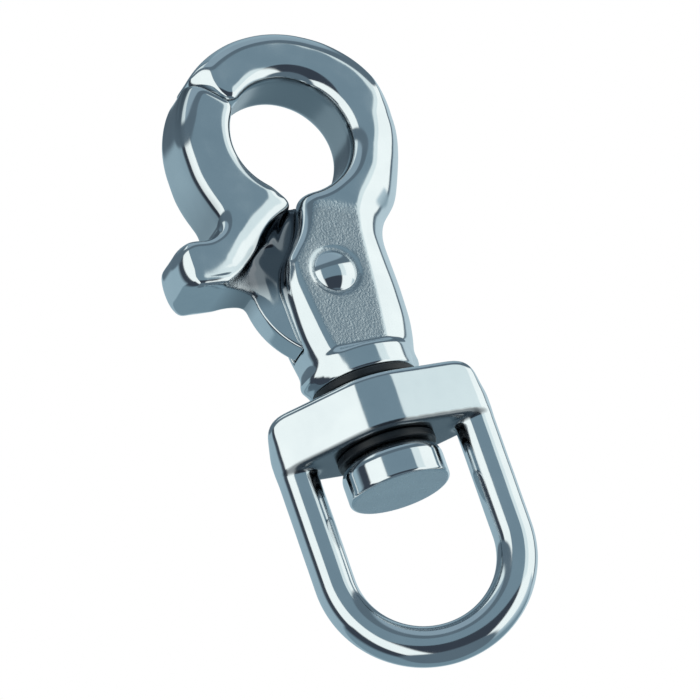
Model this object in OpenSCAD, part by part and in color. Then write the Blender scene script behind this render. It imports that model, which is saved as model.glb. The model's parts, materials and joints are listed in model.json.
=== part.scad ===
// Snap shackle with a trigger gate and a swivelling bail.
// The origin is the centre of the hook's eye. +Z runs up the swivel axis, away from the bail,
// +X is to the right seen from the front, and the front face looks along -Y.

/* [Eye and claw] */
// Radius of the clear eye
eye_r = 9.2; // [9:0.1:10]
// Outer radius of the ring round the eye
ring_r = 17.2; // [16.4:0.1:17.4]
// Thickness of the forged body and of the gate, front to back
body_t = 11.8; // [10.8:0.1:12.4]
// Rounding of the ring's edges
ring_round = 2; // [1:0.1:2.4]
// Angle round the eye of the joint between claw and gate
nose_angle = 138.5; // [132:0.5:142]
// Gap left at that joint
nose_gap = 0.15; // [0.1:0.05:0.3]

/* [Gate] */
// Thickness of the tongue that runs between the cheeks
tongue_t = 4.7; // [4:0.1:5]
// Radius of the tongue's outer edge about the hinge
tongue_r = 12.2; // [12:0.1:12.4]
// How far the gate opens, in degrees
gate_open = 24; // [18:1:24]
// Radius of the hollow between the thick jaw and the tongue
gate_fillet = 3.35; // [2.6:0.05:3.35]
// Side clearance of the tongue in its slot
slot_gap = 0.1; // [0.05:0.05:0.2]

/* [Hinge pin and spring] */
// Hinge pin position across the shank
pin_x = -0.8; // [-1:0.1:-0.4]
// Hinge pin position along the shank
pin_z = -22.3; // [-22.8:0.1:-22]
// Radius of the hinge pin
pin_r = 2.5; // [2:0.1:2.6]
// Running clearance of the gate on the pin
pin_clear = 0.05; // [0.03:0.01:0.1]
// Radius of the pin's domed heads
pin_head_r = 3.4; // [3:0.1:3.8]
// Radius of the shallow dish round each pin head
dish_r = 4.2; // [4:0.1:4.6]
// Mean radius of the gate spring's coils
coil_r = 1.25; // [1:0.05:1.3]
// Radius of the spring's wire
wire_r = 0.25; // [0.2:0.01:0.3]
// Turns of the spring
coil_turns = 6; // [4:1:8]

/* [Swivel] */
// Height of the underside of the shank's round foot
foot_z = -38.6; // [-39:0.1:-37.8]
// Radius of the foot
foot_r = 8; // [7.8:0.1:8.4]
// Radius of the upper washer
upper_washer_r = 8; // [7.6:0.1:8.4]
// Thickness of the upper washer
upper_washer_t = 1.2; // [1:0.1:2]
// Radius of the lower washer
lower_washer_r = 7.4; // [7:0.1:7.6]
// Thickness of the lower washer
lower_washer_t = 1.2; // [1:0.1:2]
// Axial play between the collar and the washers
swivel_play = 0.1; // [0.06:0.02:0.2]
// Radius of the stud's shank
stud_r = 4; // [3.6:0.1:4.4]
// Radius of the stud's button head
stud_head_r = 7.6; // [7.4:0.1:8.4]
// Height of the stud's button head
stud_head_h = 5.8; // [5:0.1:6.6]

/* [Bail] */
// Turn of the bail from the hook's plane, in degrees
bail_turn = -20; // [-30:1:30]
// Height of the collar
collar_h = 8.8; // [8:0.1:9]
// Radius of the collar's hub
hub_r = 9.2; // [8.8:0.1:9.8]
// Half the width of the flat end of the collar's wings
wing_end = 1.8; // [1.4:0.1:2]
// Radius of the corners at the end of the wings
wing_corner_r = 1.4; // [1:0.1:1.6]
// Radius of the collar's shoulders
shoulder_r = 3.3; // [2:0.1:4]
// Radius of the U bar
bar_r = 3; // [2.5:0.05:3]
// Half the distance between the bar's two legs
leg_x = 13.4; // [13.2:0.1:14]
// Height of the centre of the bar's round bend
bend_z = -66.3; // [-70:0.1:-64]

/* [Hidden] */
$fn = 72;
steel = "#8a9ca6";
black = "#1c1d1f";
half_t = body_t / 2;
eps = 0.01;

// Slot and tongue, as angles about the hinge pin
tongue_top = 93;
tongue_low = 234;
slot_top = 90;
slot_low = tongue_low + gate_open + 0.5;
slot_half = tongue_t / 2 + slot_gap;
slot_r = tongue_r + 0.25;
boss_r = 5.2;
boss_room_r = 6.4;
spine_x = 4.9;
jaw_foot_r = tongue_r - 0.35 - gate_fillet;
hollow_dip = 0.08;

// Gate spring and the lug that it pushes down
spring_x = 3.2;
lug_x = 4.6;
lug_z = -19.5;
spring_top_z = -11.4;
spring_hole_r = coil_r + wire_r + 0.2;
spring_seat_gap = 0.05;

// Dish and domed head of the hinge pin
dish_depth = 0.4;
dome_h = 1.5;

// Distance from the axis to the corners at the end of the collar's wings
wing_x = leg_x + bar_r + 0.1 - wing_corner_r;

// Swivel stack, from the foot downwards
collar_top = foot_z - upper_washer_t - swivel_play / 2;
collar_low = collar_top - collar_h;
lower_washer_top = collar_low - swivel_play / 2;
head_top = lower_washer_top - lower_washer_t;
foot_h = 3.5;
shank_end_x = 7.6;
shank_end_z = foot_z + foot_h - 0.5;
spigot_r = 2.5;
spigot_h = 6.6;
washer_clear = 0.1;
collar_clear = 0.06;
head_round = 1.4;
edge_round = 0.35;

// Shapes ------------------------------------------------------------------

// A shape drawn in X and Z, extruded along Y from y0 to y1
module plate(y0, y1) {
    translate([0, y1, 0]) rotate([90, 0, 0]) linear_extrude(y1 - y0) children();
}

// A rectangle with round corners, its lower left corner at the origin
module round_rect(w, h, r) {
    translate([r, 0]) square([w - 2 * r, h]);
    translate([0, r]) square([w, h - 2 * r]);
    for (x = [r, w - r], y = [r, h - r]) translate([x, y]) circle(r);
}

// Points along an arc
function arc(cx, cy, r, a0, a1, steps = 8) =
    [for (i = [0:steps]) let (a = a0 + (a1 - a0) * i / steps) [cx + r * cos(a), cy + r * sin(a)]];

// A wedge about the hinge pin, from angle a0 to a1 and out to radius r
module pin_wedge(r, a0, a1) {
    polygon(concat([[pin_x, pin_z]], arc(pin_x, pin_z, r, a0, a1, 24)));
}

// Part of the rounded ring round the eye, from angle a0 to a1
module eye_ring(a0, a1) {
    rotate([90, 0, 0]) rotate_extrude(angle = a1 - a0, start = a0)
        translate([eye_r, -half_t]) round_rect(ring_r - eye_r, body_t, ring_round);
}

// A cylinder along Y on the hinge axis
module on_pin(r, y0, y1) {
    plate(y0, y1) translate([pin_x, pin_z]) circle(r);
}

// A washer with round edges, its top face at z
module washer(z, r, t) {
    translate([0, 0, z - t]) rotate_extrude() difference() {
        round_rect(r, t, edge_round);
        square([stud_r + washer_clear, t]);
    }
}

// Hook body ----------------------------------------------------------------

// Outline of the shank: the neck on the right, the end in the foot, and the cheeks' curved left edge
module shank_outline() {
    polygon(concat(
        [[-0.6, -9.6], [7.4, -8.4], [13.8, -9.8]],
        arc(15.2, -17.3, 5.3, 128, 184),
        [[10, -24], [9.9, -29], [shank_end_x, shank_end_z], [-shank_end_x, shank_end_z], [-9, -29]],
        arc(pin_x, pin_z - 1.5, 8.3, 190, 130),
        [[-2.4, -13.6]]
    ));
}

// Space that the tongue needs between the cheeks
module slot_outline() {
    difference() {
        union() {
            pin_wedge(slot_r, slot_top, slot_low);
            translate([pin_x, pin_z]) circle(boss_room_r);
        }
        translate([spine_x, -40]) square([20, 40]);
    }
}

// The bevels along the shank's four long edges
module edge_bevels() {
    side_x = 10.6;
    bevel_top = -16;
    for (face = [-1, 1]) {
        translate([0, 0, shank_end_z - 1]) linear_extrude(bevel_top - shank_end_z + 1) {
            polygon([[5.2, face * (half_t + eps)], [side_x, face * 2.2], [side_x, face * (half_t + eps)]]);
            polygon([[-6.4, face * (half_t + eps)], [-side_x, face * 3], [-side_x, face * (half_t + eps)]]);
        }
    }
}

module hook_body() {
    color(steel) difference() {
        union() {
            eye_ring(-96, nose_angle);
            difference() {
                plate(-half_t, half_t) shank_outline();
                plate(-half_t - 1, half_t + 1) circle(eye_r + ring_round);
                edge_bevels();
            }
            translate([0, 0, foot_z]) cylinder(r = foot_r, h = foot_h);
        }
        plate(-slot_half, slot_half) slot_outline();
        on_pin(pin_r, -half_t - 1, half_t + 1);
        on_pin(dish_r, -half_t - 1, -half_t + dish_depth);
        on_pin(dish_r, half_t - dish_depth, half_t + 1);
        translate([spring_x, 0, pin_z]) cylinder(r = spring_hole_r, h = spring_top_z - pin_z);
        translate([0, 0, foot_z - 1]) cylinder(r = spigot_r, h = spigot_h + 1);
    }
}

// Gate ---------------------------------------------------------------------

// Outline of the thick jaw below the ring, with the thumb tab that sticks out to the left
module jaw_outline() {
    polygon(concat(
        [[-14.4, -1], [-16.7, -1.5], [-16.5, -6.5], [-15.8, -10.2]],
        arc(-18.3, -10.4, 2.5, 0, -80, 5),
        [[-21.4, -13.3]],
        arc(-21.6, -15.3, 2, 90, 175, 5),
        arc(-22.2, -19.1, 1.4, 185, 270, 5),
        [[-13.2, -20.5]],
        arc(pin_x, pin_z, jaw_foot_r - 0.5, 167, 108, 12),
        [[-3.5, -10.4], [-4.7, -10.2]]
    ));
}

// Tongue, its web below the thumb tab, the boss round the pin, and the lug with the spring's flat
// seat beside the boss
module tongue_outline() {
    lug_h = 4;
    pin_wedge(tongue_r, tongue_top, tongue_low);
    polygon([[pin_x, pin_z], [-13, -23], [-15, -21.8], [-17.4, -21], [-20, -20.5], [-14, -16]]);
    difference() {
        translate([pin_x, pin_z]) circle(boss_r);
        translate([spring_x - spring_hole_r, lug_z]) square([boss_r, boss_r]);
    }
    translate([pin_x, lug_z - lug_h]) square([lug_x - pin_x, lug_h]);
}

// The ring-shaped hollow that thins the jaw down to the tongue, on the front (-1) or the back (1)
module jaw_hollow(face) {
    translate([pin_x, 0, pin_z]) rotate([-90 * face, 0, 0]) rotate_extrude()
        translate([jaw_foot_r, tongue_t / 2 + gate_fillet - hollow_dip]) circle(gate_fillet);
}

module gate() {
    seam = nose_angle + asin(nose_gap / eye_r);
    color(steel) difference() {
        union() {
            difference() {
                union() {
                    eye_ring(seam, 248);
                    difference() {
                        plate(-half_t, half_t) jaw_outline();
                        plate(-half_t - 1, half_t + 1) circle(eye_r + ring_round);
                    }
                }
                jaw_hollow(-1);
                jaw_hollow(1);
            }
            plate(-tongue_t / 2, tongue_t / 2) difference() {
                tongue_outline();
                circle(eye_r);
            }
        }
        on_pin(pin_r + pin_clear, -half_t, half_t);
    }
}

// Hinge pin and gate spring ------------------------------------------------

// A rivet: a plain shank with a domed head in each dish
module gate_pin() {
    reach = half_t - dish_depth;
    dome_r = (pin_head_r * pin_head_r + dome_h * dome_h) / (2 * dome_h);
    color(steel) {
        on_pin(pin_r, -reach, reach);
        for (face = [-1, 1]) translate([pin_x, face * reach, pin_z]) rotate([-90 * face, 0, 0])
            rotate_extrude() intersection() {
                translate([0, dome_h - dome_r]) circle(dome_r);
                square([pin_head_r, dome_h]);
            }
    }
}

// A round wire coiled about Z, as rings of points joined by quads
module gate_spring() {
    sides = 6;
    steps = coil_turns * 12;
    low = lug_z + spring_seat_gap + wire_r;
    rise = spring_top_z - spring_seat_gap - wire_r - low;
    function wire_point(i, k) =
        let (turn = 360 * coil_turns * i / steps, a = 360 * k / sides, r = coil_r + wire_r * cos(a))
        [spring_x + r * cos(turn), r * sin(turn), low + rise * i / steps + wire_r * sin(a)];
    points = [for (i = [0:steps], k = [0:sides - 1]) wire_point(i, k)];
    side_faces = [for (i = [0:steps - 1], k = [0:sides - 1])
        let (a = i * sides + k, b = i * sides + (k + 1) % sides) [a, b, b + sides, a + sides]];
    first_cap = [for (k = [0:sides - 1]) sides - 1 - k];
    last_cap = [for (k = [0:sides - 1]) steps * sides + k];
    color(steel) polyhedron(points, concat(side_faces, [first_cap, last_cap]));
}

// Swivel -------------------------------------------------------------------

module upper_washer() {
    color(black) washer(foot_z, upper_washer_r, upper_washer_t);
}

module lower_washer() {
    color(black) washer(lower_washer_top, lower_washer_r, lower_washer_t);
}

// Button head, shank through the collar, and the spigot fixed in the foot
module swivel_stud() {
    color(steel) {
        translate([0, 0, head_top - stud_head_h]) rotate_extrude() {
            translate([0, 0]) square([stud_head_r - head_round, stud_head_h]);
            intersection() {
                translate([-stud_head_r, 0]) round_rect(2 * stud_head_r, stud_head_h, head_round);
                square([stud_head_r, stud_head_h]);
            }
        }
        translate([0, 0, head_top - eps]) cylinder(r = stud_r, h = foot_z - head_top + eps);
        translate([0, 0, foot_z - eps]) cylinder(r = spigot_r, h = spigot_h + eps);
    }
}

// Bail ---------------------------------------------------------------------

// Collar seen from above: a round hub, with wings that narrow towards the legs of the U bar
module collar_plan() {
    wing_a = atan2(wing_end, wing_x) + acos((hub_r - wing_corner_r) / norm([wing_x, wing_end]));
    polygon(concat(
        arc(0, 0, hub_r, wing_a, 180 - wing_a),
        arc(-wing_x, wing_end, wing_corner_r, 180 - wing_a, 180, 3),
        arc(-wing_x, -wing_end, wing_corner_r, 180, 180 + wing_a, 3),
        arc(0, 0, hub_r, 180 + wing_a, 360 - wing_a),
        arc(wing_x, -wing_end, wing_corner_r, 360 - wing_a, 360, 3),
        arc(wing_x, wing_end, wing_corner_r, 0, wing_a, 3)
    ));
}

// Collar seen from the front: a bar with round shoulders and a square underside
module collar_front() {
    half_w = wing_x + wing_corner_r;
    intersection() {
        translate([-half_w, collar_low - shoulder_r])
            round_rect(2 * half_w, collar_h + shoulder_r, shoulder_r);
        translate([-half_w, collar_low]) square([2 * half_w, collar_h]);
    }
}

module bail() {
    color(steel) rotate([0, 0, bail_turn]) {
        difference() {
            intersection() {
                translate([0, 0, collar_low]) linear_extrude(collar_h) collar_plan();
                plate(-hub_r - 1, hub_r + 1) collar_front();
            }
            translate([0, 0, collar_low - 1]) cylinder(r = stud_r + collar_clear, h = collar_h + 2);
        }
        for (side = [-1, 1]) translate([side * leg_x, 0, bend_z])
            cylinder(r = bar_r, h = collar_low - bend_z + 1);
        translate([0, 0, bend_z]) rotate([90, 0, 0]) rotate_extrude(angle = 180, start = 180)
            translate([leg_x, 0]) circle(bar_r);
    }
}

hook_body();
gate();
gate_pin();
gate_spring();
upper_washer();
bail();
lower_washer();
swivel_stud();
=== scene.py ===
"""A snap shackle in mirror-polished stainless steel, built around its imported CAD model.

The three forgings (hook body, gate and bail) are modelled as distance fields in millimetres and meshed on
a fine grid, so that every edge is rounded and every join is blended as on a polished casting.
The turned parts are lathed from their profiles. The object hangs upright, its eye's centre at the origin,
+Z up the swivel axis and its front towards -Y.
"""
import json
import math

import bpy
import numpy as np
from mathutils import Matrix, Vector


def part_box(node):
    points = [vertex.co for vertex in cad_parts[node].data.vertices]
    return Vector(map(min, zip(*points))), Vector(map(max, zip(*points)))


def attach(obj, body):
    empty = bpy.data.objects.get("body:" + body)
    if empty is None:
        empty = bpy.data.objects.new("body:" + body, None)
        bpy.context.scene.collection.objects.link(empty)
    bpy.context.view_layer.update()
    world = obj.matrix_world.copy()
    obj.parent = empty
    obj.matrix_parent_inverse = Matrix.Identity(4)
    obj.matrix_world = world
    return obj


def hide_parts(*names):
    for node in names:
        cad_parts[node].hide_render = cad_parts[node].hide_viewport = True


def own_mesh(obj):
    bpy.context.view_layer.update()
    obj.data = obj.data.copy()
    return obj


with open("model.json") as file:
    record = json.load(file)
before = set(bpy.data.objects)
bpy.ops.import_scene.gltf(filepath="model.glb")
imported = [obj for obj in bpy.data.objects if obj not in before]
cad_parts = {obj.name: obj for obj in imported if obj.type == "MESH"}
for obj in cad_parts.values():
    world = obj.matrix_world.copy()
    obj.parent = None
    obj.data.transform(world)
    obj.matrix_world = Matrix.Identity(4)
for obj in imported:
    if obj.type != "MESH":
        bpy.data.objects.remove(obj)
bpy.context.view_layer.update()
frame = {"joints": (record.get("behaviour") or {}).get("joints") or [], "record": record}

MM = 0.001
CELL = 0.2  # grid step of the meshed forgings, in mm


# Sizes from the frame, in mm ------------------------------------------------------------------------

def node_box(node):
    """Lowest and highest corner of a CAD node, in mm."""
    low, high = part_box(node)
    return low / MM, high / MM


record = frame["record"]
eye_mount = next(m for m in record["mounts"] if m["name"] == "hook_eye")
hinge = next(j for j in frame["joints"] if j["name"] == "gate_hinge")
hook_low, hook_high = node_box("hook_body")
gate_low, gate_high = node_box("gate")
bail_low, bail_high = node_box("bail")
upper_low, upper_high = node_box("upper_washer")
lower_low, lower_high = node_box("lower_washer")
stud_low, stud_high = node_box("swivel_stud")
pin_low, pin_high = node_box("gate_pin")
spring_low, spring_high = node_box("gate_spring")

eye_r = eye_mount["dims"]["r_mm"]
ring_r = hook_high.z
half_t = gate_high.y
pin_x, pin_z = hinge["pos_m"][0] / MM, hinge["pos_m"][2] / MM
foot_z = hook_low.z
foot_r = hook_high.y
foot_h = 3.9
tongue_half = 2.35
slot_half = tongue_half + 0.12
tongue_r = 12.2
pin_r = 2.5
nose_angle = math.radians(138.5)
nose_gap = 0.12

bail_turn = math.radians(-20)
bar_r = 3.0
leg_x = 13.4
collar_top = upper_low.z - 0.05
collar_low = lower_high.z + 0.05
bend_z = bail_low.z + leg_x + bar_r
stud_r = 4.0
spigot_r = 2.5


# Distance fields ------------------------------------------------------------------------------------
# A field is negative inside the solid. x, y and z broadcast against each other.

def rounded_max(a, b, r):
    """Both solids' common part, its new edge a fillet of radius r."""
    return np.minimum(np.maximum(a, b), -r) + np.hypot(np.maximum(a + r, 0), np.maximum(b + r, 0))


def soft_min(a, b, width):
    """Both solids joined, with a blend about as wide as width."""
    h = np.clip(0.5 + 0.5 * (b - a) / width, 0, 1)
    return b + (a - b) * h - width * h * (1 - h)


def soft_max(a, b, width):
    """Both solids' common part, with a blend about as wide as width."""
    return -soft_min(-a, -b, width)


def smooth_curve(points, closed=True, steps=6):
    """A Catmull-Rom curve through the points, as a dense polyline."""
    p = np.array(points, float)
    n = len(p)
    spans = n if closed else n - 1
    t = np.linspace(0, 1, steps, endpoint=False)[:, None]
    made = []
    for i in range(spans):
        a, b, c, d = (p[(i + k) % n] if closed else p[min(max(i + k, 0), n - 1)] for k in (-1, 0, 1, 2))
        bend = 2 * a - 5 * b + 4 * c - d
        twist = 3 * b - a - 3 * c + d
        made.append(0.5 * (2 * b + (c - a) * t + bend * t**2 + twist * t**3))
    if not closed:
        made.append(p[-1:])
    return np.concatenate(made)


def line_distance(x, z, line, closed):
    """Distance in the X-Z plane to a polyline, and whether a point lies within it."""
    nearest = np.full(np.broadcast(x, z).shape, 1e9)
    within = np.zeros(nearest.shape, bool)
    ends = np.roll(line, -1, axis=0) if closed else line[1:]
    for (ax, az), (bx, bz) in zip(line, ends):
        ex, ez = bx - ax, bz - az
        t = np.clip(((x - ax) * ex + (z - az) * ez) / (ex * ex + ez * ez), 0, 1)
        nearest = np.minimum(nearest, (x - ax - t * ex) ** 2 + (z - az - t * ez) ** 2)
        if closed and az != bz:
            crosses = ((az > z) != (bz > z)) & (x < ax + (z - az) * ex / ez)
            within ^= crosses
    return np.sqrt(nearest), within


def outline(x, z, points):
    """Signed distance to the smooth closed outline through the points."""
    d, within = line_distance(x, z, smooth_curve(points), closed=True)
    return np.where(within, -d, d)


def along(z, points):
    """x of a nearly upright line at height z, from points listed from the top down."""
    heights = [p[1] for p in reversed(points)]
    return np.interp(z, heights, [p[0] for p in reversed(points)])


def turned(x, z, angle):
    """Signed distance to a line through the origin at that angle, positive on its anticlockwise side."""
    return -math.sin(angle) * x + math.cos(angle) * z


def ripple(x, y, z, size, wave):
    """The faint unevenness that hand polishing leaves."""
    k = 2 * math.pi / wave
    across = np.sin(k * (x + 0.6 * z)) * np.sin(k * (0.8 * z - 0.5 * x) + 1.3)
    deep = 0.7 * np.sin(k * 1.3 * (y + 0.4 * z) + 2.1)
    return size * (across + deep)


# Meshing a field ------------------------------------------------------------------------------------

CORNERS = [(i, j, k) for i in (0, 1) for j in (0, 1) for k in (0, 1)]
EDGES = [
    (a, b) for a in CORNERS for b in CORNERS
    if sum(b) - sum(a) == 1 and all(q >= p for p, q in zip(a, b))
]


def softened(field, passes):
    """The field after small blurs, which round off what is still sharp."""
    for _ in range(passes):
        for axis in range(3):
            f = np.moveaxis(field, axis, 0)
            f[1:-1] = (f[:-2] + 2 * f[1:-1] + f[2:]) / 4
    return field


def sampled(grid, where):
    """The grid's values at fractional indices, between its nodes."""
    base = np.clip(np.floor(where).astype(int), 0, np.array(grid.shape[:3]) - 2)
    part = where - base
    total = 0
    for corner in CORNERS:
        weight = np.prod([part[:, d] if corner[d] else 1 - part[:, d] for d in range(3)], axis=0)
        value = grid[tuple((base + corner).T)]
        total = total + (weight[:, None] * value if value.ndim == 2 else weight * value)
    return total


def net(field):
    """A quad mesh on the zero level of a grid: one point in each cell that the surface crosses."""
    inside = field < 0
    nx, ny, nz = (s - 1 for s in field.shape)
    count = sum(inside[i:nx + i, j:ny + j, k:nz + k].astype(np.int8) for i, j, k in CORNERS)
    cells = np.argwhere((count > 0) & (count < 8))
    number = np.full((nx, ny, nz), -1)
    number[tuple(cells.T)] = np.arange(len(cells))
    total = np.zeros((len(cells), 3))
    hits = np.zeros(len(cells))
    for a, b in EDGES:
        fa, fb = field[tuple((cells + a).T)], field[tuple((cells + b).T)]
        cross = (fa < 0) != (fb < 0)
        t = np.where(cross, fa / np.where(cross, fa - fb, 1), 0)[:, None]
        total += np.where(cross[:, None], np.array(a) + t * (np.array(b) - np.array(a)), 0)
        hits += cross
    points = cells + total / hits[:, None]
    quads = []
    for axis in range(3):
        step = np.eye(3, dtype=int)[axis]
        u, v = np.roll(step, 1), np.roll(step, 2)
        low = inside[tuple(slice(0, -1) if s else slice(1, -1) for s in step)]
        high = inside[tuple(slice(1, None) if s else slice(1, -1) for s in step)]
        start = np.argwhere(low != high) + (1 - step)
        ring = [number[tuple((start - o).T)] for o in (0 * u, u, u + v, v)]
        faces = np.stack(ring, axis=1)
        flip = inside[tuple(start.T)]
        faces[~flip] = faces[~flip][:, ::-1]
        quads.append(faces)
    return points, np.concatenate(quads)


def mesh_object(name, points, faces, normals=None):
    """A smooth-shaded mesh object from points in mm."""
    mesh = bpy.data.meshes.new(name)
    mesh.from_pydata((np.asarray(points) * MM).tolist(), [], [list(map(int, f)) for f in faces])
    mesh.shade_smooth()
    if normals is not None:
        mesh.normals_split_custom_set_from_vertices(normals.tolist())
    made = bpy.data.objects.new(name, mesh)
    bpy.context.scene.collection.objects.link(made)
    return made


def forging(name, low, high, field, marks, polish=4):
    """Meshes field(x, y, z) between two corners, in mm.

    marks are named functions of the points, stored as attributes for the material.
    """
    margin = 4 * CELL
    axes = [np.arange(a - margin, b + margin + CELL, CELL) for a, b in zip(low, high)]
    x, y, z = axes[0][:, None, None], axes[1][None, :, None], axes[2][None, None, :]
    values = softened(np.array(np.broadcast_to(field(x, y, z), [len(a) for a in axes])), polish)
    points, faces = net(values)
    slope = np.stack(np.gradient(values), axis=-1)
    # Two steps down the slope bring the points from the cells' middles onto the surface
    for _ in range(2):
        g = sampled(slope, points)
        points = points - sampled(values, points)[:, None] * g / (g**2).sum(1)[:, None]
    normals = sampled(slope, points)
    normals /= np.linalg.norm(normals, axis=1)[:, None]
    points = points * CELL + np.array([a[0] for a in axes])
    made = mesh_object(name, points, faces, normals)
    for mark, rule in marks.items():
        attribute = made.data.attributes.new(mark, "FLOAT", "POINT")
        attribute.data.foreach_set("value", rule(points, normals).astype(np.float32))
    return made


# Lathe and sweep ------------------------------------------------------------------------------------

def rounded_profile(corners, closed):
    """A profile of (radius, height) points from (r, h, fillet) corners.

    A point is held just beside each end of a fillet, so that the shading stays flat up to it.
    """
    made = []
    n = len(corners)
    for i, (r, h, fillet) in enumerate(corners):
        here = np.array([r, h])
        if fillet == 0 or (not closed and i in (0, n - 1)):
            made.append(here)
            continue
        before = np.array(corners[i - 1][:2]) - here
        after = np.array(corners[(i + 1) % n][:2]) - here
        before, after = before / np.linalg.norm(before), after / np.linalg.norm(after)
        half = math.acos(np.clip(before @ after, -1, 1)) / 2
        reach = fillet / math.tan(half)
        middle = (before + after) / np.linalg.norm(before + after)
        centre = here + middle * fillet / math.sin(half)
        hold = min(0.12, reach)
        made.append(here + before * (reach + hold))
        first, last = here + before * reach - centre, here + after * reach - centre
        turn = math.pi - 2 * half
        for s in np.linspace(0, 1, 9):
            w0, w1 = math.sin((1 - s) * turn) / math.sin(turn), math.sin(s * turn) / math.sin(turn)
            made.append(centre + w0 * first + w1 * last)
        made.append(here + after * (reach + hold))
    return made


def lathe(name, profile, closed, sides=128):
    """A profile turned about Z, as one clean mesh."""
    points, rings = [], []
    for r, h in profile:
        if r < 1e-6:
            rings.append([len(points)] * sides)
            points.append((0, 0, h))
            continue
        rings.append(list(range(len(points), len(points) + sides)))
        for s in range(sides):
            a = 2 * math.pi * s / sides
            points.append((r * math.cos(a), r * math.sin(a), h))
    faces = []
    pairs = list(zip(rings, rings[1:])) + ([(rings[-1], rings[0])] if closed else [])
    for low, high in pairs:
        for s in range(sides):
            t = (s + 1) % sides
            faces.append(list(dict.fromkeys([low[s], low[t], high[t], high[s]])))
    return mesh_object(name, points, faces)


def sweep(name, path, radius, sides=12):
    """A round wire along a path, its ends closed."""
    path = np.array(path)
    tangent = np.gradient(path, axis=0)
    tangent /= np.linalg.norm(tangent, axis=1)[:, None]
    side = np.cross(tangent, [0, 0, 1])
    side /= np.linalg.norm(side, axis=1)[:, None]
    up = np.cross(side, tangent)
    points = []
    for p, u, v in zip(path, side, up):
        for s in range(sides):
            a = 2 * math.pi * s / sides
            points.append(p + radius * (math.cos(a) * u + math.sin(a) * v))
    faces = []
    for i in range(len(path) - 1):
        for s in range(sides):
            t = (s + 1) % sides
            faces.append([i * sides + s, i * sides + t, (i + 1) * sides + t, (i + 1) * sides + s])
    faces.append(list(range(sides))[::-1])
    faces.append([(len(path) - 1) * sides + s for s in range(sides)])
    return mesh_object(name, points, faces)


# Materials ------------------------------------------------------------------------------------------

def tree_of(material):
    """The material's nodes, links and Principled shader."""
    material.use_nodes = True
    tree = material.node_tree
    return tree.nodes, tree.links, tree.nodes["Principled BSDF"]


def noise(nodes, links, place, scale, detail=3.0, stretch=(1, 1, 1)):
    """A noise of features about 1/scale metres across, stretched along an axis if asked."""
    mapping = nodes.new("ShaderNodeMapping")
    mapping.inputs["Scale"].default_value = stretch
    links.new(place, mapping.inputs["Vector"])
    texture = nodes.new("ShaderNodeTexNoise")
    texture.inputs["Scale"].default_value = scale
    texture.inputs["Detail"].default_value = detail
    links.new(mapping.outputs["Vector"], texture.inputs["Vector"])
    return texture.outputs["Fac"]


def ranged(nodes, links, value, low, high, from_low=0.3, from_high=0.7):
    """A value brought from one range to another."""
    node = nodes.new("ShaderNodeMapRange")
    node.inputs["From Min"].default_value = from_low
    node.inputs["From Max"].default_value = from_high
    node.inputs["To Min"].default_value = low
    node.inputs["To Max"].default_value = high
    links.new(value, node.inputs["Value"])
    return node.outputs["Result"]


def mixed(nodes, links, factor, a, b):
    """Between the numbers or outputs a and b, by a factor."""
    node = nodes.new("ShaderNodeMix")
    links.new(factor, node.inputs["Factor"])
    for socket, value in (("A", a), ("B", b)):
        if isinstance(value, (int, float)):
            node.inputs[socket].default_value = value
        else:
            links.new(value, node.inputs[socket])
    return node.outputs["Result"]


def tinted(nodes, links, factor, dark, light):
    """A colour between two, by a factor."""
    ramp = nodes.new("ShaderNodeValToRGB")
    ramp.color_ramp.elements[0].position = 0.3
    ramp.color_ramp.elements[1].position = 0.7
    ramp.color_ramp.elements[0].color = (*dark, 1)
    ramp.color_ramp.elements[1].color = (*light, 1)
    links.new(factor, ramp.inputs["Fac"])
    return ramp.outputs["Color"]


def blend_colour(nodes, links, factor, colour, other):
    """From a colour output to a constant colour, by a factor."""
    node = nodes.new("ShaderNodeMix")
    node.data_type = "RGBA"
    node.inputs[7].default_value = (*other, 1)
    links.new(factor, node.inputs["Factor"])
    links.new(colour, node.inputs[6])
    return node.outputs[2]


def bumped(nodes, links, height, distance, strength=1.0, under=None):
    """A bump of distance metres from a height output, laid over another bump if one is given."""
    node = nodes.new("ShaderNodeBump")
    node.inputs["Distance"].default_value = distance
    if isinstance(strength, (int, float)):
        node.inputs["Strength"].default_value = strength
    else:
        links.new(strength, node.inputs["Strength"])
    links.new(height, node.inputs["Height"])
    if under is not None:
        links.new(under, node.inputs["Normal"])
    return node.outputs["Normal"]


def marked(nodes, name):
    """One of the attributes that a forging's marks store on its mesh."""
    node = nodes.new("ShaderNodeAttribute")
    node.attribute_name = name
    return node.outputs["Fac"]


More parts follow.
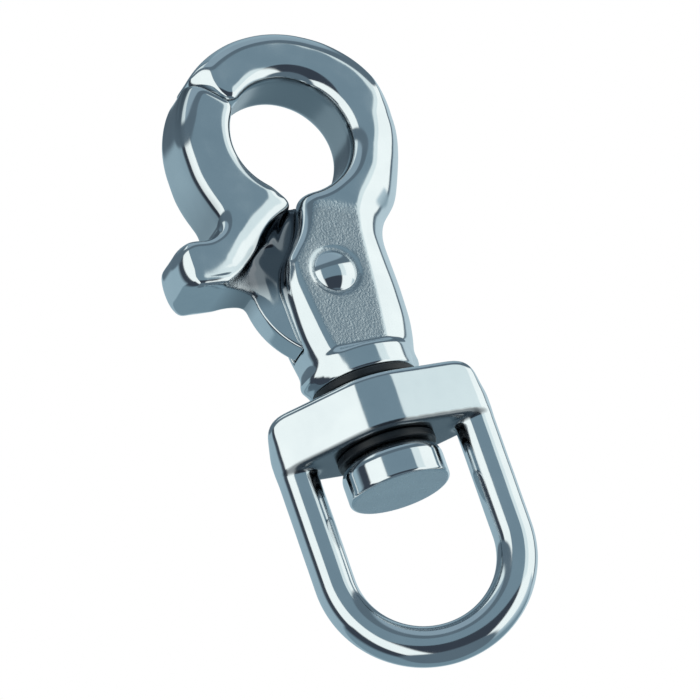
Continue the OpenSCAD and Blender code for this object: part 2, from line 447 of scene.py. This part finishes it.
def forged_steel():
    """Mirror-polished stainless steel, with the sand-cast grain left where the attribute grain says, and
    painted shade, a darker colour, where the two other attributes say, one of which also makes the finish
    rougher.
    """
    material = bpy.data.materials.new("forged_steel")
    nodes, links, shader = tree_of(material)
    place = nodes.new("ShaderNodeTexCoord").outputs["Object"]
    smudge = noise(nodes, links, place, 220)
    scratch = noise(nodes, links, place, 2600, 2, (1, 1, 0.12))
    pits = noise(nodes, links, place, 2900, 4)
    lumps = noise(nodes, links, place, 900, 2)
    grain = marked(nodes, "grain")
    rough_and_shade = marked(nodes, "rough_and_shade")
    bright = tinted(nodes, links, smudge, (0.74, 0.785, 0.81), (0.80, 0.84, 0.86))
    polish = mixed(nodes, links, rough_and_shade, ranged(nodes, links, smudge, 0.05, 0.13), 0.24)
    rough = ranged(nodes, links, pits, 0.26, 0.46)
    links.new(mixed(nodes, links, grain, polish, rough), shader.inputs["Roughness"])
    # Painted shade: the colour is darkened on the eye's wall and under the collar, where the finish is also
    # rougher
    shade_darkened = blend_colour(nodes, links, rough_and_shade, bright, (0.40, 0.43, 0.45))
    cast = blend_colour(nodes, links, grain, shade_darkened, (0.62, 0.67, 0.70))
    # Painted shade: the colour is darkened further in the recess between the gate's jaw and tongue, and under
    # the collar
    dark = blend_colour(nodes, links, marked(nodes, "recess"), cast, (0.17, 0.185, 0.205))
    links.new(dark, shader.inputs["Base Color"])
    shader.inputs["Metallic"].default_value = 1
    fine = bumped(nodes, links, scratch, 0.0000012)
    coarse = bumped(nodes, links, pits, 0.0001, grain, fine)
    links.new(bumped(nodes, links, lumps, 0.00005, grain, coarse), shader.inputs["Normal"])
    return material


def turned_steel():
    """Lathe-turned and polished steel: mirror sides, and satin flats with a fine grit."""
    material = bpy.data.materials.new("turned_steel")
    nodes, links, shader = tree_of(material)
    coords = nodes.new("ShaderNodeTexCoord")
    smudge = noise(nodes, links, coords.outputs["Object"], 300)
    grit = noise(nodes, links, coords.outputs["Object"], 3200, 4)
    split = nodes.new("ShaderNodeSeparateXYZ")
    links.new(coords.outputs["Normal"], split.inputs["Vector"])
    flat = ranged(nodes, links, split.outputs["Z"], 1, 0, -0.99, -0.9)
    satin = ranged(nodes, links, grit, 0.26, 0.38)
    polish = ranged(nodes, links, smudge, 0.04, 0.11)
    links.new(mixed(nodes, links, flat, polish, satin), shader.inputs["Roughness"])
    colour = tinted(nodes, links, smudge, (0.75, 0.79, 0.815), (0.80, 0.84, 0.86))
    links.new(colour, shader.inputs["Base Color"])
    shader.inputs["Metallic"].default_value = 1
    links.new(bumped(nodes, links, grit, 0.00002, flat), shader.inputs["Normal"])
    return material


def spring_wire():
    """Drawn spring wire: satin steel with lines along it and a little straw tint."""
    material = bpy.data.materials.new("spring_wire")
    nodes, links, shader = tree_of(material)
    place = nodes.new("ShaderNodeTexCoord").outputs["Object"]
    streak = noise(nodes, links, place, 4000, 3, (0.2, 0.2, 1))
    links.new(ranged(nodes, links, streak, 0.2, 0.36), shader.inputs["Roughness"])
    colour = tinted(nodes, links, streak, (0.46, 0.45, 0.43), (0.60, 0.60, 0.58))
    links.new(colour, shader.inputs["Base Color"])
    shader.inputs["Metallic"].default_value = 1
    links.new(bumped(nodes, links, streak, 0.000006), shader.inputs["Normal"])
    return material


def black_acetal():
    """Matte black plastic with a fine moulded grain, a little greyer where it is rubbed."""
    material = bpy.data.materials.new("black_acetal")
    nodes, links, shader = tree_of(material)
    place = nodes.new("ShaderNodeTexCoord").outputs["Object"]
    rub = noise(nodes, links, place, 500, 4)
    grain = noise(nodes, links, place, 5000, 3)
    links.new(ranged(nodes, links, rub, 0.34, 0.52), shader.inputs["Roughness"])
    colour = tinted(nodes, links, rub, (0.010, 0.012, 0.015), (0.022, 0.026, 0.031))
    links.new(colour, shader.inputs["Base Color"])
    links.new(bumped(nodes, links, grain, 0.00001), shader.inputs["Normal"])
    return material


MATERIALS = {make.__name__: make() for make in (forged_steel, turned_steel, spring_wire, black_acetal)}


def finished(piece, body, slot, *nodes):
    """Gives a piece its material and slot, rides it on its body and lets it stand for CAD nodes."""
    piece.data.materials.append(MATERIALS[slot])
    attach(piece, body)
    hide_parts(*nodes)
    return piece


# Hook body ------------------------------------------------------------------------------------------

# The shank's outline, clockwise from the neck on the right
shank_right = [
    (13.4, -10.6), (10.9, -13.9), (10.4, -17.8), (10.6, -22.8), (10.7, -26.7), (10.5, -31), (9.5, -35),
    (8.2, -38)]
shank_left = [
    (-7.9, -38), (-8.3, -34.5), (-8.8, -31), (-8.9, -26.5), (-8.7, -22.5), (-7.5, -19.4), (-5.7, -17.2),
    (-3.2, -14.8), (-1.1, -11.6), (0.2, -9.3)]
shank_top = [(1.2, -8.2), (6, -6), (12, -7)]
# Where the flat faces end and the bevels begin, from the top down; the ring's is (radius, height)
right_flat = [
    (11, 20), (11, -6.8), (7.9, -10.8), (6.1, -13.6), (5.4, -16.8), (5.0, -21.2), (4.6, -26.0), (4.1, -30.1),
    (3.6, -34), (3.2, -38.6)]
left_flat = [
    (-20, -16.6), (-7.6, -18.2), (-6.6, -20.2), (-6.6, -22.8), (-5.8, -30.5), (-4.8, -36.6), (-4.4, -38.6)]
ring_flat = [(17.5, 7), (14.0, 1), (13.0, -4)]
ring_end = math.radians(262)  # where the ring ends against the gate's foot
beyond_nose = nose_angle + math.radians(20)
corner_reach = 9.0  # a depth beyond any real one, where the claw's corner isn't cut
crown = 0.03  # how much lower the ring's faces are at their edges than at their middle
crisp = 0.3  # the blend of an edge that polishing left nearly sharp
neck_blend = 4.5
right_slope, left_slope = 0.5, 0.75  # how steep the shank's bevels are
nose_round = 1.5
foot_blend = 0.8
slot_start, slot_end = 90, 260  # the slot's sector about the pin, in degrees
slot_floor_x = 4.9
pin_room_r = 6.5  # the slot is at least this far open round the pin
dish_r, dish_depth = 3.75, 0.22  # the dish in each cheek, round the pin's head
pocket_x, pocket_r, pocket_top = 3.2, 1.7, -11.4  # the spring's pocket, from the slot upwards


def eye_bore(x, z):
    """Depth inside the eye's opening."""
    return eye_r - np.hypot(x, z)


def rim(x, z):
    """Distance outside the ring's outer edge, which is a little fuller on the right and flatter on top."""
    rho = np.hypot(x, z)
    right = np.clip(x / np.maximum(rho, 1), 0, 1)
    top = np.clip(z / np.maximum(rho, 1), 0, 1)
    return rho - ring_r - 0.6 * right**2 + 0.35 * top**2


def from_pin(x, z):
    """Distance from the hinge axis, and the angle about it in degrees from 0 to 360."""
    return np.hypot(x - pin_x, z - pin_z), np.degrees(np.arctan2(z - pin_z, x - pin_x)) % 360


def pin_sector(x, z, radius, start, end):
    """Signed distance to a sector about the hinge axis, of less or more than half a turn."""
    r, _ = from_pin(x, z)
    a = -turned(x - pin_x, z - pin_z, math.radians(start))
    b = turned(x - pin_x, z - pin_z, math.radians(end))
    wedge = np.maximum(a, b) if end - start < 180 else np.minimum(a, b)
    return np.maximum(r - radius, wedge)


def bevel(y, inset, slope):
    """A bevel on both faces: inset is how far inside the bevel's edge a point lies, negative on the bevel."""
    return (np.abs(y) - half_t - slope * inset) / math.hypot(1, slope)


def ring_face(x, y, z):
    """Height above the faces, which are slightly crowned round the eye."""
    middle = (eye_r + ring_r) / 2
    share = np.clip((np.hypot(x, z) - middle) / (ring_r - middle), -1, 1)
    return np.abs(y) - half_t + crown * share**2 * np.clip((z + 12) / 6, 0, 1)


def hook_field(x, y, z):
    rho = np.hypot(x, z)
    # The ring's claw and the shank are one plan, between crowned faces that are bevelled at the sides
    claw = np.maximum(rim(x, z), np.minimum(turned(x, z, ring_end - math.pi), turned(x, z, beyond_nose)))
    shank = outline(x, z, shank_right + shank_left + shank_top)
    plan = soft_min(claw, shank, neck_blend)
    right_inset = soft_max(along(z, right_flat) - x, along(z, ring_flat) - rho, 0.8)
    left_inset = x - along(z, left_flat)
    face = soft_max(ring_face(x, y, z), bevel(y, right_inset, right_slope), crisp)
    face = soft_max(face, bevel(y, left_inset, left_slope), crisp)
    on_left = np.interp(z, [-18, -10], [1, 0]) * np.interp(x, [-2, 2], [1, 0])
    on_right = np.interp(x, [3, 7], [0, 1]) * np.interp(z, [-11, -1], [1, 0.2])
    edge_round = 2.4 - 0.8 * on_left + 1.4 * on_right
    solid = rounded_max(plan, face, edge_round)
    # The claw's two corners are ground off beside the nose
    corner = np.where(z > 2, 0.73 * np.abs(y) - 0.68 * x - 10.4, -corner_reach)
    solid = soft_max(solid, corner, crisp)
    nose = np.minimum(turned(x, z, nose_angle) + nose_gap / 2, z - 2)
    solid = rounded_max(solid, nose, nose_round)
    foot = rounded_max(np.hypot(x, y) - foot_r, np.abs(z - foot_z - foot_h / 2) - foot_h / 2, 0.4)
    solid = soft_min(solid, foot, foot_blend)
    # The eye's edge is rounder towards its upper right
    upper_right = np.clip((x * 0.87 + z * 0.5) / np.maximum(rho, 1), 0, 1)
    solid = rounded_max(solid, eye_bore(x, z), 1.8 + 1.3 * upper_right)
    solid = solid + ripple(x, y, z, 0.012, 7.0)

    # What is cut out of the forging: the slot, the dishes, the pin's hole and the spring's pocket
    r, _ = from_pin(x, z)
    slot = np.minimum(pin_sector(x, z, tongue_r + 0.3, slot_start, slot_end), r - pin_room_r)
    slot = np.maximum(slot, x - slot_floor_x)
    slot = np.maximum(slot, np.abs(y) - slot_half)
    solid = soft_max(solid, -slot, 0.25)
    dish = np.maximum(r - dish_r, half_t - dish_depth - np.abs(y))
    solid = soft_max(solid, -dish, 0.35)
    solid = np.maximum(solid, pin_r - 0.05 - r)
    pocket = np.maximum(np.hypot(x - pocket_x, y) - pocket_r, z - pocket_top)
    pocket = np.maximum(pocket, pin_z - z)
    return np.maximum(solid, -pocket)


def shank_grain(points, normals):
    """1 on the rough flats of the shank, 0 where the forging is polished."""
    x, y, z = points.T
    inset = np.minimum(along(z, right_flat) - x, x - along(z, left_flat))
    flat = np.clip((np.abs(normals[:, 1]) - 0.97) / 0.02, 0, 1)
    top = np.clip((-10.4 - 0.35 * x - z) / 2.5, 0, 1)
    low = np.clip((z + 34.2) / 1.0, 0, 1)
    return flat * top * low * np.clip(inset / 0.8, 0, 1)


def unmarked(points, normals):
    """0 all over, for a mark that a forging doesn't have."""
    return np.zeros(len(points))


def bore_rough_and_shade(points, normals):
    """1 on the wall of the eye, which has a rougher finish and painted shade that makes it darker than the
    outside.
    """
    x, y, z = points.T
    inward = -(normals[:, 0] * x + normals[:, 2] * z) / np.hypot(x, z)
    return np.clip((inward - 0.9) / 0.08, 0, 1) * np.clip((12 - np.hypot(x, z)) / 1, 0, 1)


def hook_body():
    """The fixed claw of the eye, the shank with its slot and the round foot, in one forging."""
    # The eye's wall gets a rougher finish and painted shade
    marks = {"grain": shank_grain, "rough_and_shade": bore_rough_and_shade, "recess": unmarked}
    made = forging("hook_body_detail", hook_low, hook_high, hook_field, marks)
    return finished(made, "hook", "forged_steel", "hook_body")


# Gate -----------------------------------------------------------------------------------------------

# The jaw's outline, anticlockwise from its joint with the ring's left side
jaw_left = [
    (-13.5, 3), (-15.6, 0.5), (-16.75, -2.5), (-16.5, -5.8), (-15.4, -10.2), (-15.8, -12.5), (-17.8, -13.7),
    (-20.7, -13.6)]
tab_tip = [(-22.9, -14.3), (-23.8, -16.6), (-23.6, -19.2), (-22.2, -20.7), (-20, -20.9), (-17.0, -20.7)]
jaw_edge = [(-14.9, -19.7), (-13.2, -18.4), (-11.1, -16.6), (-8.2, -14.3), (-4.4, -11.5)]
jaw_nose = [(-3.5, -10.4), (-3.9, -8.8), (-5.4, -7.4), (-9, -3), (-11, 2)]
# The lower edge of the jaw's faces, which the bevel runs along
bevel_edge = [
    (-3, -9.8), (-4.0, -10.5), (-7.85, -13.2), (-10.7, -15.45), (-12.9, -17.2), (-14.55, -18.45),
    (-16.45, -19.3), (-22, -19.4)]
# The web between the thumb tab and the tongue
web_edge = [
    (-22, -18.8), (-19.5, -20.9), (-14.6, -21.9), (-12.1, -23.2), (-10.6, -24.9), (-8.4, -22), (-12, -17.4),
    (-18, -17.4)]
jaw_end = math.radians(246)  # where the ring's arc ends on the jaw
tab_flat_x = 21.7
tab_slope, web_slope = 1.0, 0.45  # how steep the bevels at the thumb tab and along the web are
hollow_r = 3.35
hollow_foot = 8.5
tongue_start, tongue_end = 93, 235.3  # the tongue's sector about the pin, in degrees
boss_r = 5.2
lug_half_w, lug_half_h, lug_z = 2.7, 2, -21.5  # the lug that the spring pushes, right of the pin


def gate_hollow(x, y, z):
    """The ring-shaped hollow on each face that thins the jaw down to the tongue."""
    r, _ = from_pin(x, z)
    deep = np.abs(y) - tongue_half
    torus = np.hypot(r - hollow_foot, deep - hollow_r) - hollow_r
    return np.minimum(torus, np.maximum(r - hollow_foot, -deep))


def gate_field(x, y, z):
    # The jaw: the ring's left arc and the thumb tab in one plan
    ring = np.maximum(rim(x, z), turned(x, z, jaw_end))
    outside = outline(x, z, jaw_left + tab_tip + jaw_edge + jaw_nose)
    plan = soft_min(ring, outside, 1.2)
    face = soft_max(ring_face(x, y, z), bevel(y, x + tab_flat_x, tab_slope), crisp)
    solid = rounded_max(plan, face, np.interp(z, [-14, -9], [1.2, 2.9]))
    solid = soft_max(solid, nose_gap / 2 - turned(x, z, nose_angle), 0.9)
    solid = rounded_max(solid, eye_bore(x, z), 1.4)
    from_edge, _ = line_distance(x, z, smooth_curve(bevel_edge, closed=False), closed=False)
    width = np.interp(x, [-21, -13, -7, -4.5], [0.4, 2.1, 2.1, 1.6])
    solid = soft_max(solid, bevel(y, from_edge - width, web_slope), 0.4)
    solid = soft_max(solid, -gate_hollow(x, y, z), 0.5)
    solid = solid + ripple(x, y, z, 0.012, 7.0)

    # The tongue with its web, its boss round the pin (cut away at the upper right) and its lug
    r, _ = from_pin(x, z)
    boss = np.maximum(r - boss_r, np.minimum(x - 1.5, z + 19.5))
    lug = np.maximum(np.abs(x - pin_x - lug_half_w) - lug_half_w, np.abs(z - lug_z) - lug_half_h)
    tongue = pin_sector(x, z, tongue_r, tongue_start, tongue_end)
    web_half = np.interp(x, [-17, -10.5], [4.4, 1.9])
    web = rounded_max(outline(x, z, web_edge), np.abs(y) - web_half, 0.9)
    plate = np.minimum(tongue, np.minimum(boss, lug))
    plate = rounded_max(plate, eye_bore(x, z), 0.5)
    plate = rounded_max(plate, np.abs(y) - tongue_half, 0.35)
    solid = soft_min(soft_min(solid, web, 1.4), plate, 0.8)
    return np.maximum(solid, pin_r + 0.1 - r)


def gate_grain(points, normals):
    """Cast grain in the hollow, away from the polished nose."""
    x, y, z = points.T
    depth = half_t - 0.5 - np.abs(y)
    left = np.clip((-11.8 - x) / 1.5, 0, 1) * np.clip((x + 18) / 2, 0, 1)
    sideways = np.clip((np.abs(normals[:, 1]) - 0.2) / 0.3, 0, 1)
    return 0.6 * np.clip(depth / 0.8, 0, 1) * left * np.clip((-17 - z) / 2, 0, 1) * sideways


def gate_recess(points, normals):
    """1 in the deep recess between the jaw and the tongue, where shade is painted darker into the colour."""
    x, y, z = points.T
    depth = np.clip((half_t - 0.7 - np.abs(y)) / 0.8, 0, 1)
    outside_eye = np.clip((np.hypot(x, z) - eye_r - 0.3) / 0.5, 0, 1)
    return depth * outside_eye * np.clip((z + 25) / 4, 0, 1) * np.clip((x + 18) / 5, 0, 1)


def gate():
    """The hinged jaw with its thumb tab, and the thin tongue that runs in the shank's slot."""
    # The eye's wall gets a rougher finish and painted shade, and the recess by the tongue gets painted shade
    marks = {"grain": gate_grain, "rough_and_shade": bore_rough_and_shade, "recess": gate_recess}
    made = forging("gate_detail", gate_low, gate_high, gate_field, marks)
    return finished(made, "gate", "forged_steel", "gate")


# Bail -----------------------------------------------------------------------------------------------

hub_r = 9.2
wing_end = 1.8
wing_corner_r = 1.4
wing_bulge = 0.06
wing_short = 0.4  # how far the wings stop short of the bar's outside
shoulder_r = 4.2
collar_edge_r = 0.9
bar_sunk = 1.0  # how far below the collar's top the bar's closed end lies


def collar_plan(u, v):
    """Signed distance to the collar seen from above: a hub, and wings that narrow towards the legs."""
    end = leg_x + bar_r - wing_short
    wing_x = end - wing_corner_r
    slant = math.atan2(wing_end, wing_x) + math.acos((hub_r - wing_corner_r) / math.hypot(wing_x, wing_end))
    outward = np.abs(u) * math.sin(slant) - np.abs(v) * math.cos(slant)
    share = np.clip(outward / end, 0, 1)
    flank = np.abs(u) * math.cos(slant) + np.abs(v) * math.sin(slant) - hub_r
    wing = flank - wing_bulge * np.sin(math.pi * share) ** 2
    return np.where(outward < 0, np.hypot(u, v) - hub_r, rounded_max(wing, np.abs(u) - end, wing_corner_r))


def bail_field(x, y, z):
    u = x * math.cos(bail_turn) + y * math.sin(bail_turn)
    v = -x * math.sin(bail_turn) + y * math.cos(bail_turn)
    middle = (collar_top + collar_low) / 2
    half_h = (collar_top - collar_low) / 2
    block = rounded_max(collar_plan(u, v), np.abs(z - middle) - half_h, collar_edge_r)
    shoulder = rounded_max(np.abs(u) - leg_x - bar_r, z - collar_top, shoulder_r)
    block = soft_max(block, shoulder, collar_edge_r)

    # The bar's centre line is a closed loop: a U, and across its top an end that the collar hides
    above = rounded_max(np.abs(u) - leg_x, z - collar_top + bar_r + bar_sunk, 2.5)
    loop = np.where(z > bend_z, above, np.hypot(u, z - bend_z) - leg_x)
    solid = soft_min(block, np.hypot(loop, v) - bar_r, 0.9)
    solid = solid + ripple(u, v, z, 0.008, 9.0)
    bore = np.minimum(stud_r + 0.06 - np.hypot(x, y), z - collar_low + 2)
    return np.maximum(solid, bore)


def underside(points, normals):
    """1 on the collar's underside and its lower edge, where the finish is rougher and shade is painted
    darker.
    """
    x, y, z = points.T
    return np.clip((-normals[:, 2] - 0.25) / 0.2, 0, 1) * np.clip((1.5 - np.abs(z - collar_low)) / 0.4, 0, 1)


def dimmed_underside(points, normals):
    """The same, where the light under the collar is partly lost."""
    return 0.65 * underside(points, normals)


def bail():
    """The winged collar and the round U bar, in one forging."""
    # Under the collar the finish is rougher and shade is painted darker into the colour
    marks = {"grain": unmarked, "rough_and_shade": underside, "recess": dimmed_underside}
    made = forging("bail_detail", bail_low, bail_high, bail_field, marks)
    return finished(made, "bail", "forged_steel", "bail")


# Turned parts ---------------------------------------------------------------------------------------

def washer(name, low, high):
    """A thrust washer that fills its CAD node's box."""
    bore = stud_r + 0.1
    corners = [(bore, low.z, 0.1), (high.x, low.z, 0.3), (high.x, high.z, 0.3), (bore, high.z, 0.1)]
    made = lathe(name + "_detail", rounded_profile(corners, True), True)
    return finished(made, "hook", "black_acetal", name)


def swivel_stud():
    """A button head under the collar, a shank through it and a spigot up into the foot."""
    head_r = stud_high.x
    head_top = lower_low.z
    corners = [
        (0, stud_low.z, 0), (head_r, stud_low.z, 0.6), (head_r, head_top, 2.3),
        (stud_r, head_top, 0.3), (stud_r, foot_z, 0.2), (spigot_r, foot_z, 0.2), (spigot_r, stud_high.z, 0.4),
        (0, stud_high.z, 0)]
    made = lathe("swivel_stud_detail", rounded_profile(corners, False), False)
    return finished(made, "hook", "turned_steel", "swivel_stud")


def gate_pin():
    """A rivet with a domed head in each dish, turned about Z and then laid along Y."""
    head_r = (pin_high.x - pin_low.x) / 2
    seat = half_t - 0.4
    dome_h = pin_high.y - seat
    sphere_r = (head_r**2 + dome_h**2) / (2 * dome_h)
    angles = np.linspace(0, math.asin(head_r / sphere_r) * 0.97, 14)
    dome = [(sphere_r * math.sin(a), seat + dome_h - sphere_r * (1 - math.cos(a))) for a in angles]
    edge = [(head_r, seat + 0.12), (head_r - 0.03, seat), (pin_r + 0.1, seat), (pin_r, seat - 0.05)]
    half = dome + edge
    profile = half + [(r, -h) for r, h in reversed(half)]
    made = lathe("gate_pin_detail", [(r, -h) for r, h in profile], False)
    lay = Matrix.Rotation(math.radians(90), 4, "X")
    made.data.transform(Matrix.Translation((pin_x * MM, 0, pin_z * MM)) @ lay)
    return finished(made, "hook", "turned_steel", "gate_pin")


def gate_spring():
    """A compression spring with its end turns closed."""
    wire_r = 0.25
    coil_r = (spring_high.x - spring_low.x) / 2 - wire_r
    cx = (spring_high.x + spring_low.x) / 2
    turns = 7
    share = np.linspace(0, 1, turns * 24 + 1)
    closed = 2 * wire_r / (spring_high.z - spring_low.z - 2 * wire_r)
    rise = np.interp(share * turns, [0, 1, turns - 1, turns], [0, closed, 1 - closed, 1])
    height = spring_low.z + wire_r + rise * (spring_high.z - spring_low.z - 2 * wire_r)
    angle = 2 * math.pi * turns * share
    path = np.stack([cx + coil_r * np.cos(angle), coil_r * np.sin(angle), height], axis=1)
    made = finished(sweep("gate_spring_detail", path, wire_r), "hook", "spring_wire", "gate_spring")
    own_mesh(made)
    return made


# Camera, light and floor ----------------------------------------------------------------------------

def camera():
    """Seen from the lower left, with the swivel axis leaning to the left in the picture."""
    azimuth, elevation, roll = math.radians(-25), math.radians(-19), math.radians(19.3)
    distance = 1.46
    eye_in_view = (-0.01007, 0.0292)  # the eye's centre from the middle of the picture, right and up
    level_share = math.cos(elevation)
    back = Vector((math.sin(azimuth) * level_share, -math.cos(azimuth) * level_share, math.sin(elevation)))
    level = Vector((0, 0, 1)).cross(back).normalized()
    steep = back.cross(level)
    right = math.cos(roll) * level - math.sin(roll) * steep
    up = math.sin(roll) * level + math.cos(roll) * steep
    place = back * distance - right * eye_in_view[0] - up * eye_in_view[1]
    data = bpy.data.cameras.new("camera")
    data.sensor_width = 36
    data.lens = 514.3
    data.clip_start = 0.01
    made = bpy.data.objects.new("camera", data)
    made.matrix_world = Matrix((right, up, back)).transposed().to_4x4()
    made.location = place
    bpy.context.scene.collection.objects.link(made)
    bpy.context.scene.camera = made


# The studio's colours, from the soft boxes down to the dark screens
WHITE = (1.06, 1.12, 1.10)
GLOW = (0.82, 0.93, 0.94)
SILVER = (0.53, 0.66, 0.72)
RIM = (0.34, 0.47, 0.54)
MID = (0.195, 0.285, 0.345)
HIGH = (0.29, 0.39, 0.46)
BACK = (0.20, 0.30, 0.36)
DIM = (0.12, 0.17, 0.21)
DARK = (0.045, 0.058, 0.078)

# What a reflection meets, by degrees round from the front (right is positive): below the horizon, about
# level with it, and high up
ROUND_LOW = [
    (-180, BACK), (-125, BACK), (-108, DARK), (-80, DARK), (-74, WHITE), (-42, WHITE), (-37, DARK),
    (28, DARK), (33, WHITE), (74, WHITE), (82, SILVER), (115, BACK), (180, BACK)]
ROUND_LEVEL = [
    (-180, RIM), (-112, RIM), (-100, DARK), (-84, DARK), (-80, WHITE), (-42, WHITE), (-40, MID), (28, MID),
    (30, GLOW), (46, GLOW), (50, WHITE), (96, WHITE), (98, DIM), (103, DIM), (108, SILVER), (135, SILVER),
    (180, RIM)]
ROUND_HIGH = [
    (-180, MID), (-120, DIM), (-98, DIM), (-88, GLOW), (-66, GLOW), (-58, HIGH), (60, HIGH), (120, RIM),
    (180, MID)]


def studio():
    """A white surround for the camera, and for reflections a grey studio with two tall soft boxes."""
    world = bpy.data.worlds.new("studio")
    bpy.context.scene.world = world
    world.use_nodes = True
    nodes, links = world.node_tree.nodes, world.node_tree.links
    nodes.clear()

    def maths(operation, a, b=0.0):
        node = nodes.new("ShaderNodeMath")
        node.operation = operation
        for socket, value in zip(node.inputs, (a, b)):
            if isinstance(value, (int, float)):
                socket.default_value = value
            else:
                links.new(value, socket)
        return node.outputs[0]

    split = nodes.new("ShaderNodeSeparateXYZ")
    links.new(nodes.new("ShaderNodeTexCoord").outputs["Generated"], split.inputs[0])
    x, y, z = split.outputs
    turn = maths("ARCTAN2", x, maths("MULTIPLY", y, -1.0))
    share = maths("ADD", maths("DIVIDE", turn, 2 * math.pi), 0.5)
    height = maths("ARCSINE", z)

    def ramp(stops):
        node = nodes.new("ShaderNodeValToRGB")
        elements = node.color_ramp.elements
        while len(elements) > 1:
            elements.remove(elements[-1])
        for i, (degrees, colour) in enumerate(stops):
            element = elements[0] if i == 0 else elements.new(degrees / 360 + 0.5)
            element.position = degrees / 360 + 0.5
            element.color = (*colour, 1)
        links.new(share, node.inputs["Fac"])
        return node.outputs["Color"]

    def blended(low, high, start, end):
        node = nodes.new("ShaderNodeMix")
        node.data_type = "RGBA"
        factor = nodes.new("ShaderNodeMapRange")
        factor.interpolation_type = "SMOOTHSTEP"
        factor.inputs["From Min"].default_value = math.radians(start)
        factor.inputs["From Max"].default_value = math.radians(end)
        links.new(height, factor.inputs["Value"])
        links.new(factor.outputs["Result"], node.inputs["Factor"])
        links.new(low, node.inputs[6])
        links.new(high, node.inputs[7])
        return node.outputs[2]

    ground = nodes.new("ShaderNodeRGB")
    ground.outputs[0].default_value = (*DIM, 1)
    surround = blended(ground.outputs[0], ramp(ROUND_LOW), -58, -51)
    surround = blended(surround, ramp(ROUND_LEVEL), -13, -9)
    surround = blended(surround, ground.outputs[0], 26, 29)
    surround = blended(surround, ramp(ROUND_HIGH), 42, 48)

    seen = nodes.new("ShaderNodeBackground")
    seen.inputs["Color"].default_value = (1, 1, 1, 1)
    reflected = nodes.new("ShaderNodeBackground")
    links.new(surround, reflected.inputs["Color"])
    choice = nodes.new("ShaderNodeMixShader")
    links.new(nodes.new("ShaderNodeLightPath").outputs["Is Camera Ray"], choice.inputs["Fac"])
    links.new(reflected.outputs[0], choice.inputs[1])
    links.new(seen.outputs[0], choice.inputs[2])
    links.new(choice.outputs[0], nodes.new("ShaderNodeOutputWorld").inputs["Surface"])


def overhead_light():
    """One wide soft light above, for the floor's soft shadow and the black washers."""
    data = bpy.data.lights.new("overhead", "AREA")
    data.shape = "DISK"
    data.size = 0.9
    data.energy = 9
    made = bpy.data.objects.new("overhead", data)
    made.location = (-0.25, -0.45, 1.1)
    made.rotation_euler = (-made.location).to_track_quat("-Z", "Y").to_euler()
    made.visible_glossy = False
    bpy.context.scene.collection.objects.link(made)


def floor():
    """A plain pale floor well below the hanging object."""
    mesh = bpy.data.meshes.new("floor")
    half, drop = 6.0, -0.62
    corners = [(-half, -half, drop), (half, -half, drop), (half, half, drop), (-half, half, drop)]
    mesh.from_pydata(corners, [], [(0, 1, 2, 3)])
    made = bpy.data.objects.new("floor", mesh)
    bpy.context.scene.collection.objects.link(made)
    material = bpy.data.materials.new("floor")
    nodes, links, shader = tree_of(material)
    shader.inputs["Base Color"].default_value = (0.86, 0.87, 0.88, 1)
    shader.inputs["Roughness"].default_value = 0.9
    mesh.materials.append(material)
    made.visible_glossy = False


camera()
studio()
overhead_light()
floor()
hook_body()
gate()
bail()
washer("upper_washer", upper_low, upper_high)
washer("lower_washer", lower_low, lower_high)
swivel_stud()
gate_pin()
gate_spring()
bpy.context.scene.view_settings.view_transform = "Standard"
